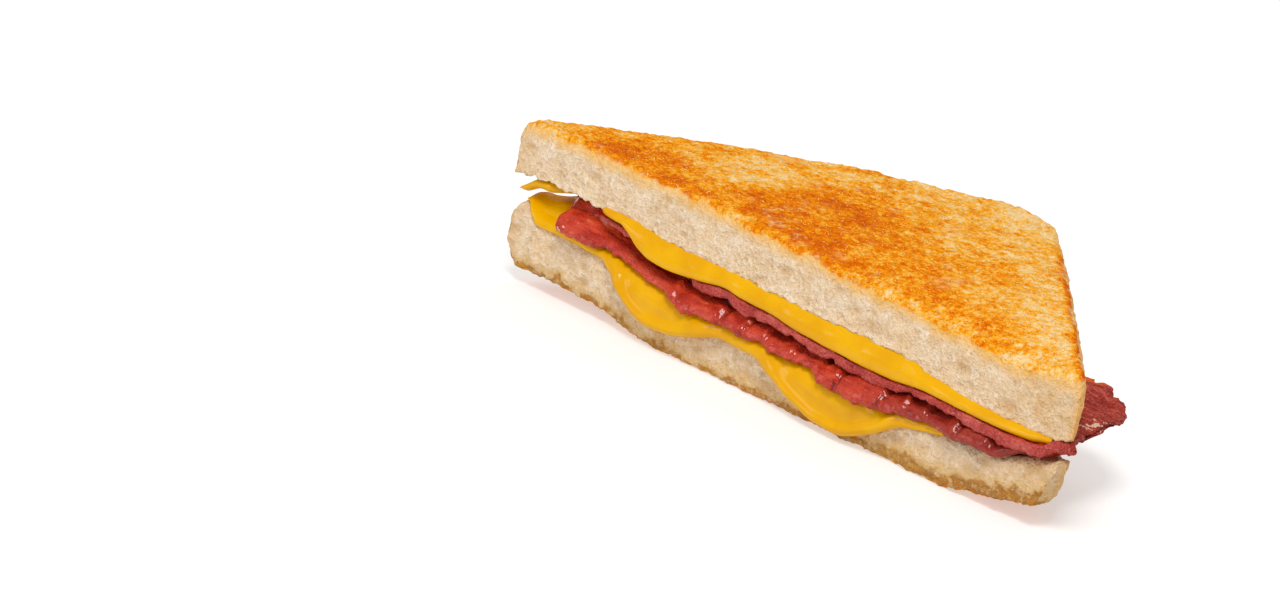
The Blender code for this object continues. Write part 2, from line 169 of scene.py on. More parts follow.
def toast_outline(side, shift):
    """Points of the crust in plan, from the left-hand end of the cut round to the right-hand end."""
    corner, tip = SQUARE_CORNER_RADIUS, SHARP_CORNER_RADIUS
    straight = side - tip - corner
    tip_steps, leg_steps, corner_steps = 8, 40, 16
    on_square = []
    for k in range(tip_steps + 1):
        a = math.radians(45 + 45 * k / tip_steps)
        on_square.append((side - tip + tip * math.cos(a), tip - tip * math.sin(a)))
    for k in range(1, leg_steps):
        t = k / leg_steps
        on_square.append((side - tip - straight * t, -DOMED_LEG_BULGE * 4 * t * (1 - t)))
    for k in range(corner_steps + 1):
        a = math.radians(90 * k / corner_steps)
        on_square.append((corner * (1 - math.sin(a)), corner * (1 - math.cos(a))))
    for k in range(1, leg_steps):
        on_square.append((0.0, corner + straight * k / leg_steps))
    for k in range(tip_steps + 1):
        a = math.radians(45 * k / tip_steps)
        on_square.append((tip - tip * math.cos(a), side - tip + tip * math.sin(a)))
    reach = side / math.sqrt(2)
    return [(shift + (v - u) / math.sqrt(2), reach - (u + v) / math.sqrt(2)) for u, v in on_square]


UPPER_OUTLINE = toast_outline(TOAST_SIDE, UPPER_TOAST_SHIFT)
LOWER_OUTLINE = toast_outline(TOAST_SIDE - LOWER_TOAST_INSET, LOWER_TOAST_SHIFT)


def depth_of(outline, x):
    """How far back from the cut the crust is at x."""
    for (x0, y0), (x1, y1) in zip(outline, outline[1:]):
        if x0 <= x <= x1 and x1 > x0:
            return y0 + (y1 - y0) * (x - x0) / (x1 - x0)
    return 0.0


def underside(x, depth):
    """The lower slice's underside: flat in the middle, and curled and cut away at its ends."""
    right = max(x - FLAT_TO, 0.0) / RIGHT_CURL_LENGTH
    return (LEFT_CURL * smooth((FLAT_FROM - x) / LEFT_CURL_LENGTH) + RIGHT_CURL * right * right
            + RIGHT_END_LIFT * smooth((x - FLAT_TO - RIGHT_LIFT_AFTER) / RIGHT_LIFT_LENGTH)
            + end_slant(x)
            + SQUARE_CORNER_CURL * smooth((depth - SQUARE_CURL_FROM) / SQUARE_CURL_LENGTH))


def end_slant(x):
    """How much the lower slice's underside is cut away at its two ends."""
    return (RIGHT_END_SLANT * smooth((x - RIGHT_SLANT_FROM) / RIGHT_SLANT_LENGTH)
            + LEFT_END_SLANT * smooth((LEFT_SLANT_FROM - x) / LEFT_SLANT_LENGTH))


def lower_top(x, depth):
    """The lower slice's upper side, which rises inwards from its pressed edge."""
    inside = 1 - math.exp(-max(depth - CUT_EDGE_RADIUS, 0.0) / RISE_LENGTH)
    return along(LOWER_EDGE, x) + along(LOWER_RISE, x) * inside


def upper_underside(x, depth):
    """The upper slice's underside, the same at every depth."""
    return along(UPPER_EDGE, x)


def upper_top(x, depth):
    """The toasted face, pressed down along the cut and falling a little towards the back."""
    pressed = along(UPPER_DROP, x) * math.exp(-max(depth, 0.0) / CUT_DROP_LENGTH)
    return STACK_HEIGHT - pressed - TOP_FALL * smooth((depth - TOP_FALL_FROM) / TOP_FALL_LENGTH)


# ---------------------------------------------------------------- random relief

NOISE_REACH = 1.6
PIT_LEAST_RADIUS = 0.30
PIT_RADIUS_SPREAD = 0.25
PIT_STEEPNESS = 1.25


def wave(x, size, seed):
    """A smooth random line, between about -1 and 1, whose waves are about size long."""
    return noise.noise(Vector((x / size, 7.31 * seed, 2.17 * seed))) * NOISE_REACH


def noise_place(point, size, seed, stretch):
    """Where a point lies in the endless noise, moved so that each seed has noise of its own."""
    at = Vector((point[0] / stretch[0], point[1] / stretch[1], point[2] / stretch[2])) / size
    return at + Vector((seed * 9.1, seed * 5.3, seed * 3.7))


def lumps(point, size, seed, stretch=(1, 1, 1)):
    """Smooth random relief between about -1 and 1, with lumps of about that size."""
    return noise.noise(noise_place(point, size, seed, stretch)) * NOISE_REACH


def relief(point, layers, seed):
    """Layers of lumps added up, each given by its height, its size and a number for its seed."""
    return sum(height * lumps(point, size, seed + number) for height, size, number in layers)


def pits(point, size, seed, share, stretch=(1, 1, 1)):
    """1 in the middle of scattered pits and 0 outside. share is the part of them that is there."""
    distances, centres = noise.voronoi(noise_place(point, size, seed, stretch))
    if noise.cell(centres[0] * 7.7) > share:
        return 0.0
    chance = noise.cell(centres[0] * 3.3 + Vector((5, 5, 5)))
    return smooth(PIT_STEEPNESS - distances[0] / (PIT_LEAST_RADIUS + PIT_RADIUS_SPREAD * chance))


# ---------------------------------------------------------------- making meshes

def spread(start, end, count, crowding):
    """Places from start to end, crowded near start."""
    top = math.exp(crowding) - 1
    return [start + (end - start) * (math.exp(crowding * k / (count + 1)) - 1) / top
            for k in range(1, count + 1)]


WIDEST_CORNER = 0.45
TALLEST_CORNER = 0.49


def band(front, back, low, high, radii, places, crowding, steps=(7, 4)):
    """A closed ring with rounded corners, from front to back between two lines. radii are those of
    the lower front, the upper front and both back corners. steps are those of the front and back
    corners, and places those of the two lines, which crowd towards the front."""
    length = back - front

    def corner(p, radius, upper, at_back):
        across = min(radius, WIDEST_CORNER * length)
        inner = p - across if at_back else p + across
        line = high if upper else low
        up = min(radius, TALLEST_CORNER * (high(inner) - low(inner)))
        count = steps[1] if at_back else steps[0]
        points = []
        for k in range(count + 1):
            a = math.radians(90 * k / count)
            out = across * math.sin(a)
            rise = up * (1 - math.cos(a))
            points.append((inner + out if at_back else inner - out,
                           line(inner) - rise if upper else line(inner) + rise))
        return points

    foot = corner(front, radii[0], False, False)
    brow = corner(front, radii[1], True, False)
    heel = corner(back, radii[2], False, True)
    shoulder = corner(back, radii[2], True, True)
    lower = [(p, low(p)) for p in spread(foot[0][0], heel[0][0], places, crowding)]
    upper = [(p, high(p)) for p in spread(brow[0][0], shoulder[0][0], places, crowding)]
    return foot[::-1] + lower + heel + shoulder[::-1] + upper[::-1] + brow


def stations(start, end, step):
    """Places along the cut, crowded at both ends, where the outline turns."""
    near = [0.03, 0.12, 0.3, 0.6, 1.0, 1.5, 2.1]
    first, last = start + near[-1], end - near[-1]
    middle = round((last - first) / step)
    return ([start + n for n in near[:-1]]
            + [first + (last - first) * k / middle for k in range(middle + 1)]
            + [end - n for n in near[-2::-1]])


def end_inset(x, start, end, radius):
    """How much a section at x is cut down, so that the ends of the solid are round."""
    inside = min(min(x - start, end - x) / radius, 1.0)
    return radius * (1 - math.sqrt(1 - (1 - inside) ** 2))


def over_edge(x, place, height):
    """A point of a layer draped over the lower slice's cut edge, as (depth, level)."""
    edge, radius = along(LOWER_EDGE, x), CUT_EDGE_RADIUS
    if place <= 0:
        return radius - place, lower_top(x, radius - place) + height
    turn = place / radius
    if turn < math.pi / 2:
        return (radius - (radius + height) * math.sin(turn),
                edge - radius + (radius + height) * math.cos(turn))
    return -height, edge - radius - (place - radius * math.pi / 2)


def mesh_of(name, rings):
    """A closed mesh over rings of equal length, each a list of (x, depth, level)."""
    count = len(rings[0])
    points = [(x * MM, (CUT_Y + d) * MM, z * MM) for ring in rings for x, d, z in ring]
    faces = []
    for r in range(len(rings) - 1):
        for k in range(count):
            a, b = r * count + k, r * count + (k + 1) % count
            faces.append((a, a + count, b + count, b))
    faces.append(tuple(range(count)))
    faces.append(tuple(range(len(points) - 1, len(points) - 1 - count, -1)))
    mesh = bpy.data.meshes.new(name)
    mesh.from_pydata(points, [], faces)
    mesh.validate()
    mesh.update()
    return mesh


def place_piece(name, mesh, node):
    """Puts a mesh in the scene as a piece that stands for a solid of the frame."""
    mesh.shade_smooth()
    piece = bpy.data.objects.new(name, mesh)
    bpy.context.scene.collection.objects.link(piece)
    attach(piece, "root")
    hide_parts(node)
    return piece


def remeshed(mesh, voxel):
    """The mesh made over as even small faces."""
    holder = bpy.data.objects.new("holder", mesh)
    bpy.context.scene.collection.objects.link(holder)
    change = holder.modifiers.new("even", "REMESH")
    change.mode = "VOXEL"
    change.voxel_size = voxel * MM
    even = bpy.data.meshes.new_from_object(
        holder.evaluated_get(bpy.context.evaluated_depsgraph_get()))
    bpy.data.objects.remove(holder)
    return even


def read_points(mesh):
    """Vertices as an array of (x, depth, level) in millimetres, and their normals."""
    points = np.empty(len(mesh.vertices) * 3)
    mesh.vertices.foreach_get("co", points)
    normals = np.empty(len(mesh.vertices) * 3)
    mesh.vertex_normals.foreach_get("vector", normals)
    points = points.reshape(-1, 3) / MM
    points[:, 1] -= CUT_Y
    return points, normals.reshape(-1, 3)


def write_points(mesh, points):
    """The reverse of read_points."""
    points = points.copy()
    points[:, 1] += CUT_Y
    mesh.vertices.foreach_set("co", (points * MM).ravel())
    mesh.update()


def write_fields(mesh, **fields):
    """Keeps numbers for each vertex, which a material reads by name."""
    for name, values in fields.items():
        field = mesh.attributes.new(name, "FLOAT", "POINT")
        field.data.foreach_set("value", np.asarray(values, dtype=np.float32))


# ---------------------------------------------------------------- toast

# Where the toasted face is browner (or, with a negative strength, paler) than elsewhere:
# place along the cut, depth, half length, half width, turn in degrees, strength
BROWNING = [
    (-57, 6, 9, 7, 0, 0.38), (-46, 7, 10, 6, 0, 0.34), (-50, 14, 9, 5, 10, 0.22),
    (-33, 3, 10, 4, 0, 0.42), (-22, 13, 8, 9, 15, 0.36), (-9, 8, 11, 8, 0, 0.38),
    (-16, 27, 8, 9, 0, 0.38), (-4, 27, 9, 8, 0, 0.42), (-15, 40, 4, 6, 10, 0.26),
    (6, 13, 13, 13, 0, 0.28), (5, 3, 14, 4, 0, 0.30), (22, 13, 10, 11, 0, 0.20),
    (36, 6, 9, 6, -10, 0.30), (51, 6, 7, 4, -15, 0.30), (25, 27, 8, 6, 0, 0.12),
    (-50, 30, 13, 5, 42, 0.16), (-29, 50, 5, 3, 30, 0.18), (10, 40, 13, 7, 0, 0.10),
    (-36, 22, 6, 16, 25, -0.14), (0, 66, 20, 9, 0, -0.16),
]
BASE_BROWNING = 0.30
# The right-hand leg is paler over a band inside it, with a browner line just inside the crust
PALE_LEG = 0.09
PALE_LEG_WIDTH = 15.0
PALE_LEG_FROM = 5.0
CRUST_LINE = 0.75
CRUST_LINE_PLACE = 0.9
CRUST_LINE_WIDTH = 1.4
CRUST_LINE_FROM = 15.0
LEG_FADE = 15.0
UNDERSIDE_BROWNING = 0.55
UNDERSIDE_MOTTLE = 0.22
UNDERSIDE_MOTTLE_SIZE = 16.0
SPILL = 0.4
SPILL_GAIN = 1.8

TOAST_STEP = 1.2
TOAST_VOXEL = 0.5
TOAST_SHRINK = 0.1
# Relief of the toast: the height and the size of each layer of lumps, and a number for its seed
WHOLE_RELIEF = [(0.14, 6.0, 0)]
CUT_RELIEF = [(0.16, 2.6, 3), (0.13, 1.2, 4)]
FACE_RELIEF = [(0.16, 2.2, 6), (0.2, 1.05, 7), (0.22, 13, 8)]
CRUST_RELIEF = [(0.16, 2.2, 9), (0.16, 1.05, 0)]
TORN_RELIEF = [(0.32, 1.4, 12), (0.2, 3.2, 13)]
TORN_HEIGHT = 2.2
# Pores: how deep the small and large ones of the cut and the dents of the toasted face are
SMALL_PORE = 0.24
LARGE_PORE = 0.34
FACE_DENT = 0.2
# The ragged line where the cut meets the filling
FRINGE_HEIGHT = 1.3
LONG_FRINGE = 0.3
SHORT_FRINGE = 0.55
LOWER_FRINGE_SHARE = 0.6
FRINGE_FORWARD = 0.3


def browning(x, depth):
    """How brown the toasted face is, from about 0 to 1."""
    amount = BASE_BROWNING
    for cx, cy, half_x, half_y, turn, strength in BROWNING:
        a = math.radians(turn)
        u = ((x - cx) * math.cos(a) + (depth - cy) * math.sin(a)) / half_x
        v = ((depth - cy) * math.cos(a) - (x - cx) * math.sin(a)) / half_y
        amount += strength * math.exp(-(u * u + v * v))
    from_leg = (depth_of(UPPER_OUTLINE, x) - depth) / math.sqrt(2)
    pale = PALE_LEG * smooth((x - PALE_LEG_FROM) / LEG_FADE) * smooth(1.3 - from_leg / PALE_LEG_WIDTH)
    line = (CRUST_LINE * smooth((x - CRUST_LINE_FROM) / LEG_FADE)
            * math.exp(-((from_leg - CRUST_LINE_PLACE) / CRUST_LINE_WIDTH) ** 2))
    return amount - pale + line


def underside_browning(x, depth):
    return UNDERSIDE_BROWNING + UNDERSIDE_MOTTLE * lumps((x, depth, 0), UNDERSIDE_MOTTLE_SIZE, 31)


def slice_rings(outline, low, high, cut_foot):
    """The plain shape of a slice, as rings across the cut. cut_foot is the radius of its cut's foot."""
    start, end = outline[0][0], outline[-1][0]
    rings = []
    for x in stations(start, end, TOAST_STEP):
        foot, top = (end_inset(x, start, end, r) for r in (TIP_FOOT_RADIUS, TIP_TOP_RADIUS))
        ring = band(0.0, depth_of(outline, x),
                    lambda d: min(low(x, d) + foot, high(x, d) - top - LEAST_TOAST),
                    lambda d: high(x, d) - top,
                    (cut_foot, CUT_EDGE_RADIUS, CRUST_RADIUS), 40, 2.0, (6, 6))
        rings.append([(x, d, z) for d, z in ring])
    return rings


def toast_piece(name, node, outline, low, high, toasted_above, brown, spill, seed):
    """A slice of toast with its porous cut, grainy toasted face and wrinkled crust. brown gives how
    brown it is, and spill how far the toasted colour comes round onto the cut at x."""
    cut_foot = UPPER_FOOT_RADIUS if toasted_above else LOWER_FOOT_RADIUS
    mesh = remeshed(mesh_of(name, slice_rings(outline, low, high, cut_foot)), TOAST_VOXEL)
    points, normals = read_points(mesh)
    moved = points.copy()
    fields = {"toasted": [], "rim": [], "hollow": [], "browning": [], "cut": [], "stain": []}
    for i, (p, n) in enumerate(zip(points, normals)):
        x, depth, z = p
        cut = smooth((-n[1] - 0.35) / 0.4) * smooth((1.6 - depth) / 0.8)
        face = smooth((abs(n[2]) - 0.6) / 0.3)
        above, below = high(x, depth) - z, z - low(x, depth)
        under, edge = (above, below) if toasted_above else (below + 0.8 * end_slant(x), above)
        hole = 0.0
        lift = relief(p, WHOLE_RELIEF, seed)
        if cut > 0:
            small = pits(p, 1.5, seed + 1, 0.42, (1.4, 1, 1))
            large = pits(p, 4.0, seed + 2, 0.16, (1.6, 1, 0.8))
            hole = max(small * 0.6, large)
            lift += cut * (relief(p, CUT_RELIEF, seed) - SMALL_PORE * small - LARGE_PORE * large)
        if face > 0:
            dent = pits(p, 3.0, seed + 5, 0.3)
            lift += face * (relief(p, FACE_RELIEF, seed) - FACE_DENT * dent)
        if cut > 0 and not toasted_above:
            torn = math.exp(-(below / TORN_HEIGHT) ** 2)
            lift += cut * torn * relief(p, TORN_RELIEF, seed)
        side = (1 - cut) * (1 - face)
        if side > 0:
            lift += side * relief(p, CRUST_RELIEF, seed)
        moved[i] += n * (lift - TOAST_SHRINK)
        ragged = cut * math.exp(-(edge / FRINGE_HEIGHT) ** 2)
        fringe = SHORT_FRINGE * wave(x, 1.3, seed + 10) + LONG_FRINGE * wave(x, 3.4, seed + 11)
        moved[i][2] += ragged * (fringe - FRINGE_DROP if toasted_above else LOWER_FRINGE_SHARE * fringe)
        moved[i][2] = max(moved[i][2], 0.0)
        moved[i][1] -= ragged * FRINGE_FORWARD * toasted_above
        fields["toasted"].append(under - cut * spill(x))
        fields["rim"].append((depth_of(outline, x) - depth) / math.sqrt(2))
        fields["hollow"].append(hole * cut)
        fields["cut"].append(max(cut, 1 - face))
        fields["browning"].append(brown(x, depth))
        # Painted shade: the crumb is made darker and more golden towards both ends of the cut
        fields["stain"].append(smooth((x - 46) / 26) + 0.8 * smooth((-70 - x) / 8))
    write_points(mesh, moved)
    write_fields(mesh, **fields)
    return place_piece(name, mesh, node)


def lower_spill(x):
    """The lower slice's brown foot, which grows taller towards the right-hand end."""
    return SPILL + SPILL_GAIN * smooth((x + 30) / 90)


def upper_spill(x):
    return 0.0


# ---------------------------------------------------------------- cheese

LOWER_CHEESE_ENDS = (-75.3, 55.5)
UPPER_CHEESE_ENDS = (-77.0, 73.0)
CHEESE_STEP = 0.8
LOWER_END_RADIUS = 0.8
UPPER_END_RADIUS = 0.5
CHEESE_SINK = 0.25
# The lower cheese's rounded rim and the shallow hollow behind it
CHEESE_BEAD = 0.8
BEAD_PLACE = 1.2
CHEESE_HOLLOW = 0.3
HOLLOW_PLACE = 3.6
HOLLOW_WIDTH = 1.6
# Its left-hand end, which is thick behind and thin in front, like a wedge
WEDGE_FROM = -63.0
WEDGE_TO = -69.0
WEDGE_EASE = 4.0
WEDGE_SWELL = 1.0
WEDGE_THINNING = 0.5
# The upper cheese, which swells out over the cut, has one tongue and a hanging left-hand corner
CHEESE_PROUD = 1.6
CHEESE_LAP = 1.0
CHEESE_FOOT_RADIUS = 0.9
CORNER_DROOP = 2.6
HIDDEN_BACK = 4.2
TONGUE_AT = -32.0
TONGUE_LENGTH = 9.0
TONGUE_PROUD = 0.7
LOWER_CHEESE_RELIEF = [(0.09, 8, 12), (0.03, 2.2, 13)]
UPPER_CHEESE_RELIEF = [(0.10, 7, 22), (0.03, 2.0, 23)]


def cheese_reach(x):
    """How far over the edge the lower cheese hangs, with its two long drips."""
    reach = along(CHEESE_REACH, x) + 0.18 * wave(x, 5, 3)
    for drip in CHEESE_DRIPS:
        away = (x - drip["at"]) / (drip["left"] if x < drip["at"] else drip["right"])
        reach += drip["length"] * max(1 - away * away, 0.0) ** 2
    return reach


def rippled(mesh, layers):
    """Lays lumps over a whole mesh."""
    points, normals = read_points(mesh)
    for i, (p, n) in enumerate(zip(points.copy(), normals)):
        points[i] += n * relief(p, layers, 0)
    write_points(mesh, points)


def lower_cheese_piece():
    """The lower cheese, draped over the lower slice's cut edge."""
    start, end = LOWER_CHEESE_ENDS
    rings = []
    for x in stations(start, end, CHEESE_STEP):
        inset = end_inset(x, start, end, LOWER_END_RADIUS)
        wedge = smooth((WEDGE_FROM - x) / WEDGE_EASE)
        swell = WEDGE_SWELL * wedge * (1 - smooth((WEDGE_TO - x) / WEDGE_EASE))
        reach = cheese_reach(x)
        thickness = along(LOWER_CHEESE, x)
        crust_inset = 0.4 + CHEESE_INSET * math.sqrt(2) * smooth((x + 77) / 14)
        back = max(depth_of(LOWER_OUTLINE, x) - crust_inset, CUT_EDGE_RADIUS - reach + 0.9)

        def top(p):
            bead = CHEESE_BEAD * smooth((reach - 1.5) / 3) * smooth((x + 64) / 8)
            bead *= math.exp(-((reach + p - BEAD_PLACE) / 1.0) ** 2)
            hollow = CHEESE_HOLLOW * smooth((reach - 2.5) / 4)
            hollow *= math.exp(-((reach + p - HOLLOW_PLACE) / HOLLOW_WIDTH) ** 2)
            thin = 1 - WEDGE_THINNING * wedge * (1 - smooth((reach + p) / 5.5))
            return GAP + thickness * thin + bead - hollow + swell * smooth((p + 1) / 4) - inset

        ring = band(-reach, back - CUT_EDGE_RADIUS, lambda p: inset - CHEESE_SINK, top,
                    (0.7, 1.4, 0.9), 52, 2.6)
        rings.append([(x, *over_edge(x, -p, h)) for p, h in ring])
    mesh = mesh_of("cheese_lower_melted", rings)
    rippled(mesh, LOWER_CHEESE_RELIEF)
    return place_piece("cheese_lower_melted", mesh, "cheese_lower")


def tongue(x):
    """1 in the middle of the tongue that hangs from the upper cheese, and 0 away from it."""
    away = (x - TONGUE_AT) / TONGUE_LENGTH
    return math.exp(-away * away)


def cheese_droop(x):
    """How far the upper cheese's left-hand corner hangs away from the toast."""
    return CORNER_DROOP * smooth((-71 - x) / 7)


def cheese_ceiling(x, depth):
    """The upper cheese's upper side, which runs a little way into the crumb along the cut."""
    lap = CHEESE_LAP * smooth((x + 72) / 6) * smooth((2 - depth) / 2)
    return upper_underside(x, depth) - GAP - cheese_droop(x) + lap


def cheese_sag(x, depth):
    """The upper cheese's underside, which sags in front of the cut."""
    inside = upper_underside(x, depth) - GAP - cheese_droop(x) - along(UPPER_CHEESE, x)
    sagging = min(along(CHEESE_LOW, x), inside + 0.3)
    return inside + (sagging - inside) * smooth((1.8 - depth) / 2.6)


def cheese_front(x):
    """The upper cheese's front edge. It is hidden between the left-hand corner and the tongue."""
    hidden = smooth((x + 69) / 6) * (1 - smooth((x + 57) / 6))
    shown = smooth((x + 56) / 9)
    proud = CHEESE_PROUD * shown * (1 - 0.7 * smooth((x - 60) / 12)) + TONGUE_PROUD * tongue(x)
    return 0.3 * (1 - shown) + HIDDEN_BACK * hidden - proud + 0.15 * wave(x, 6, 5) * shown


def swelling_ring(x, front, back, inset):
    """A section of the upper cheese: a tight lower corner, and a front that swells out of the crumb."""
    foot_at = front + CHEESE_FOOT_RADIUS
    foot = cheese_sag(x, front) + inset
    brow_at = max(0.5, foot_at)
    brow = cheese_ceiling(x, brow_at) - inset
    radius = min(CHEESE_FOOT_RADIUS, 0.45 * (brow - foot))
    foot_steps, nose_steps, places, crowding, back_radius = 6, 13, 34, 2.6, 0.8
    ring = []
    for k in range(foot_steps + 1):
        a = math.radians(90 * k / foot_steps)
        ring.append((front + CHEESE_FOOT_RADIUS * (1 - math.cos(a)), foot + radius * (1 - math.sin(a))))
    lower = [(d, cheese_sag(x, d) + inset)
             for d in spread(foot_at, back - back_radius, places, crowding)]
    heel = cheese_sag(x, back) + inset
    shoulder = cheese_ceiling(x, back) - inset
    round_back = [(back - 0.25, heel + 0.1), (back, 0.5 * (heel + shoulder)),
                  (back - 0.25, shoulder - 0.1)]
    upper = [(d, cheese_ceiling(x, d) - inset)
             for d in spread(brow_at, back - back_radius, places, crowding)]
    nose = []
    for k in range(1, nose_steps):
        t = 1 - k / nose_steps
        nose.append((front + (brow_at - front) * t ** 2.1, foot + radius + (brow - foot - radius) * t))
    return ring + lower + round_back + upper[::-1] + [(brow_at, brow)] + nose


def upper_cheese_piece():
    """The upper cheese, which hangs from the upper slice."""
    start, end = UPPER_CHEESE_ENDS
    rings = []
    for x in stations(start, end, CHEESE_STEP):
        inset = end_inset(x, start, end, UPPER_END_RADIUS)
        front = cheese_front(x)
        back = max(depth_of(UPPER_OUTLINE, x) - CHEESE_INSET * math.sqrt(2), front + 2.4)
        rings.append([(x, d, z) for d, z in swelling_ring(x, front, back, inset)])
    mesh = mesh_of("cheese_upper_melted", rings)
    rippled(mesh, UPPER_CHEESE_RELIEF)
    return place_piece("cheese_upper_melted", mesh, "cheese_upper")


# ---------------------------------------------------------------- meat

LOWER_MEAT_ENDS = (-66.5, 67.0)
UPPER_MEAT_ENDS = (-50.5, 78.5)
MEAT_STEP = 0.5
MEAT_END_RADIUS = 0.7
# The lower rasher's crosswise folds and the bulge of its left-hand end
FOLD_LENGTH = 7.5
FOLD_LEAN = 0.85
FOLDS_FROM = -34.0
CREASE_WIDTH = 0.65
VALLEY = 0.8
VALLEY_PLACE = 5.6
BULGE = 3.6
BULGE_AT = -57.0
BULGE_LENGTH = 7.5
# How strongly its cut edge shows, and how much deeper its red gets towards the right-hand end
LOWER_RIM = 0.4
DEEPER_RED = 0.45
# The pale, frayed foot of its left-hand end, as (place along the cut, level), and its size
FRILL_AT = (-60.8, 16.2)
FRILL_SIZE = (1.5, 1.3)
# The notches in the upper rasher's front edge, as (place along the cut, depth)
NOTCHES = [(-25, 0.5), (-14, 0.8), (-6, 0.4), (5, 0.8), (16, 0.7), (24, 0.4), (37, 0.7), (49, 0.5),
           (60, 0.4), (68, 0.5)]
NOTCH_WIDTH = 1.3
# Its flap, which is the part outside this sum of the place along the cut and the depth
FLAP_FROM = 74.0
FLAP_THINNING = 0.5
FLAP_NOTCH = 1.6
FLAP_NOTCH_DEPTH = 15.8
FLAP_RELIEF = [(0.28, 2.4, 77), (0.16, 1.0, 78)]
FLAP_WAVE = 0.9
FLAP_FAT_AT = (67.0, 20.0)
FLAP_FAT_SIZE = (3.0, 4.5)


def meat_floor(x):
    """How far the lower rasher lies above the lower slice, with or without cheese under it."""
    under = along(LOWER_CHEESE, x) + GAP
    return GAP + under * (1 - smooth((x - 55) / 6))


def fold_at(place):
    """How far along its fold a place is, from 0 to 1, and a random number for that fold."""
    turn = place / FOLD_LENGTH + 0.9 * noise.noise(Vector((place / 15.0, 133.3, 0.7)))
    number = math.floor(turn)
    return turn - number, noise.cell(Vector((number, 43, 0.5)))


def fold_height(place):
    """Overlapping folds: each stands up steeply at its left-hand edge and then falls slowly."""
    part, chance = fold_at(place)
    return (0.6 + 0.4 * chance) * smooth(part / 0.14) * (1 - 0.85 * smooth((part - 0.15) / 0.85))


def crease(place):
    """1 in the crease where one fold overlaps the next, and 0 away from it."""
    part, _ = fold_at(place)
    return math.exp(-((min(part, 1 - part)) * FOLD_LENGTH / CREASE_WIDTH) ** 2)


def crescent(place, inwards):
    """Curved ridges, one for each fold, that sweep from the inside out to the edge."""
    part, _ = fold_at(place)
    seat = 4.4 - 3.8 * part
    present = smooth(part / 0.12) * (1 - smooth((part - 0.85) / 0.15))
    width = 1.0 if inwards < seat else 0.7
    return present * math.exp(-((inwards - seat) / width) ** 2)


def meat_grain(p, seed):
    """Long strands and a fine grain."""
    return (0.10 * lumps(p, 0.9, seed, (6, 1.5, 1)) + 0.07 * lumps(p, 1.1, seed + 2)
            + 0.10 * lumps(p, 3.0, seed + 4))


def lower_meat_piece():
    """The lower rasher, folded crosswise and draped over the lower cheese's edge."""
    start, end = LOWER_MEAT_ENDS
    rings, rims, folds, crease_shade = [], [], [], []
    for x in stations(start, end, MEAT_STEP):
        inset = end_inset(x, start, end, MEAT_END_RADIUS)
        reach = along(MEAT_REACH, x) + 0.3 * wave(x, 6.5, 42) + 0.14 * wave(x, 1.2, 41)
        back = max(depth_of(LOWER_OUTLINE, x) - MEAT_INSET * math.sqrt(2) - 1.2 * math.sin(x / 7) ** 2,
                   CUT_EDGE_RADIUS - reach + 1.2)
        floor = meat_floor(x)
        thickness = MEAT_THICKNESS - inset
        folded = 0.25 + 0.75 * smooth((x - FOLDS_FROM) / 8)

        def top(p):
            inwards = reach + p
            ridge = (0.5 + 0.3 * wave(x, 9, 44)) * math.exp(-((inwards - 1.7) / 1.4) ** 2)
            valley = VALLEY * math.exp(-((inwards - VALLEY_PLACE) / 1.6) ** 2)
            place = x - FOLD_LEAN * p
            fold = fold_height(place) * math.exp(-max(inwards - 3, 0) / 5)
            bulge = BULGE * math.exp(-((x - BULGE_AT) / BULGE_LENGTH) ** 2)
            bulge *= smooth((inwards - 0.5) / 3)
            lift = folded * smooth((inwards + 0.4) / 1.6) * (
                1.0 * (fold - 0.35) + 1.0 * crescent(place, inwards))
            room = along(UPPER_EDGE, x) - lower_top(x, CUT_EDGE_RADIUS + p) - 0.25
            return min(floor + thickness + ridge - valley + bulge + lift,
                       max(room, thickness + floor))

        ring = band(-reach, back - CUT_EDGE_RADIUS, lambda p: floor + inset, top,
                    (0.9, 0.9, 0.8), 66, 3.2)
        rings.append([(x, *over_edge(x, -p, h)) for p, h in ring])
        rims += [math.exp(-max(p + reach - 0.2, 0.0) / 0.8) for p, h in ring]
        # Painted shade, kept in the field "inside": darker behind the front edge, less on the crescent
        # ridges, none near the left-hand end, and darker in the creases. deeper makes the red darker
        # towards the right-hand end.
        lit = 1 - math.exp(-((x + 58) / 7.0) ** 2)
        deeper = DEEPER_RED * smooth((x - 15) / 30)
        folds += [max(deeper, lit * smooth((p + reach - 1.4) / 2.0)
                      * (1 - 0.5 * crescent(x - FOLD_LEAN * p, p + reach))) for p, h in ring]
        crease_shade += [folded * crease(x - FOLD_LEAN * p) * (0.1 + 0.7 * fold_at(x - FOLD_LEAN * p)[1])
                    for p, h in ring]
    mesh = mesh_of("meat_lower_rasher", rings)
    points, normals = read_points(mesh)
    for i, (p, n) in enumerate(zip(points.copy(), normals)):
        points[i] += n * meat_grain(p, 51) * smooth((12 - p[1]) / 6)
    write_points(mesh, points)
    none = np.zeros(len(points))
    # The field "inside" carries the painted shade of the valley and creases to the material.
    write_fields(mesh, rim=np.array(rims) * LOWER_RIM, inside=np.maximum(folds, crease_shade), dull=none,
                 fatty=none, pale=left_frill(points))
    return place_piece("meat_lower_rasher", mesh, "meat_lower")


def left_frill(points):
    """How pale the lower rasher is: only at the frayed foot of its left-hand end."""
    (x, z), (width, height) = FRILL_AT, FRILL_SIZE
    away = ((points[:, 0] - x) / width) ** 2 + ((points[:, 2] - z) / height) ** 2
    return np.exp(-away) * (points[:, 1] < 0)


def rasher_top(x, depth):
    """The upper rasher's upper side, against the cheese, with its two ends drooping and lifted."""
    droop = 0.5 * smooth((-42 - x) / 6) * smooth((6 - depth) / 6)
    return cheese_sag(x, depth) - GAP + 1.8 * smooth((x - 71.8) / 3) - droop


